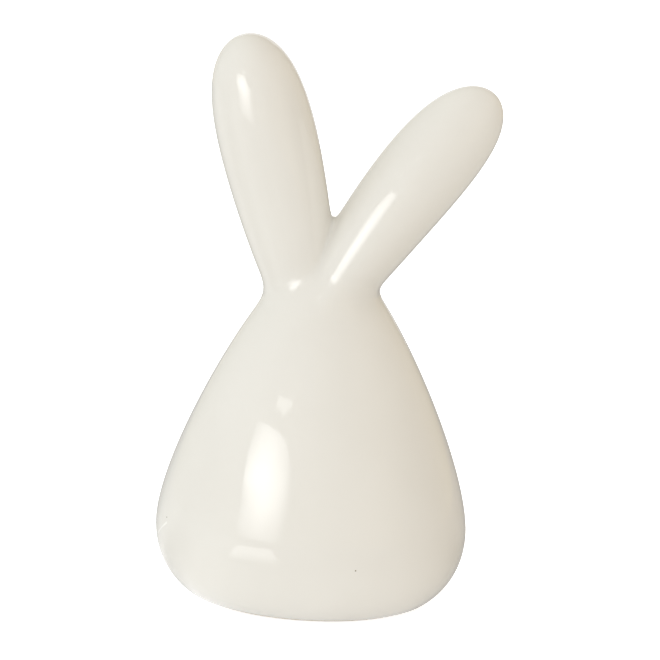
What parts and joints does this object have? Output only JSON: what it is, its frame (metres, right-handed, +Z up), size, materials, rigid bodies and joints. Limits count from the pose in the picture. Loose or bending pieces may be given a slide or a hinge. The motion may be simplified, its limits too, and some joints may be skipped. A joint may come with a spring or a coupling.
{
  "type": "bunny ornament",
  "caption": "Free-standing hollow ceramic bunny: a smooth cone body on a flat foot with felt pads, and two upright hollow ears luted to the neck, one leaning out.",
  "frame": {"origin": "middle of the bounding box's underside, on the surface that the four felt pads stand on", "axes": "+Z up; +X towards the ear that leans well out (the picture's right); -Y is the front that the picture shows"},
  "size_m": [0.103, 0.095, 0.1811],
  "materials": {
    "glaze": "gloss cream-white glaze",
    "fired_slip": "matt, unglazed",
    "felt": "pressed wool felt"
  },
  "bodies": {
    "root": {"body_shell": "glaze", "left_ear": "glaze", "right_ear": "glaze", "left_ear_slip_joint": "fired_slip", "right_ear_slip_joint": "fired_slip", "ear_crease_slip_joint": "fired_slip", "felt_pad_back_left": "felt", "felt_pad_back_right": "felt", "felt_pad_front_left": "felt", "felt_pad_front_right": "felt"}
  },
  "joints": []
}
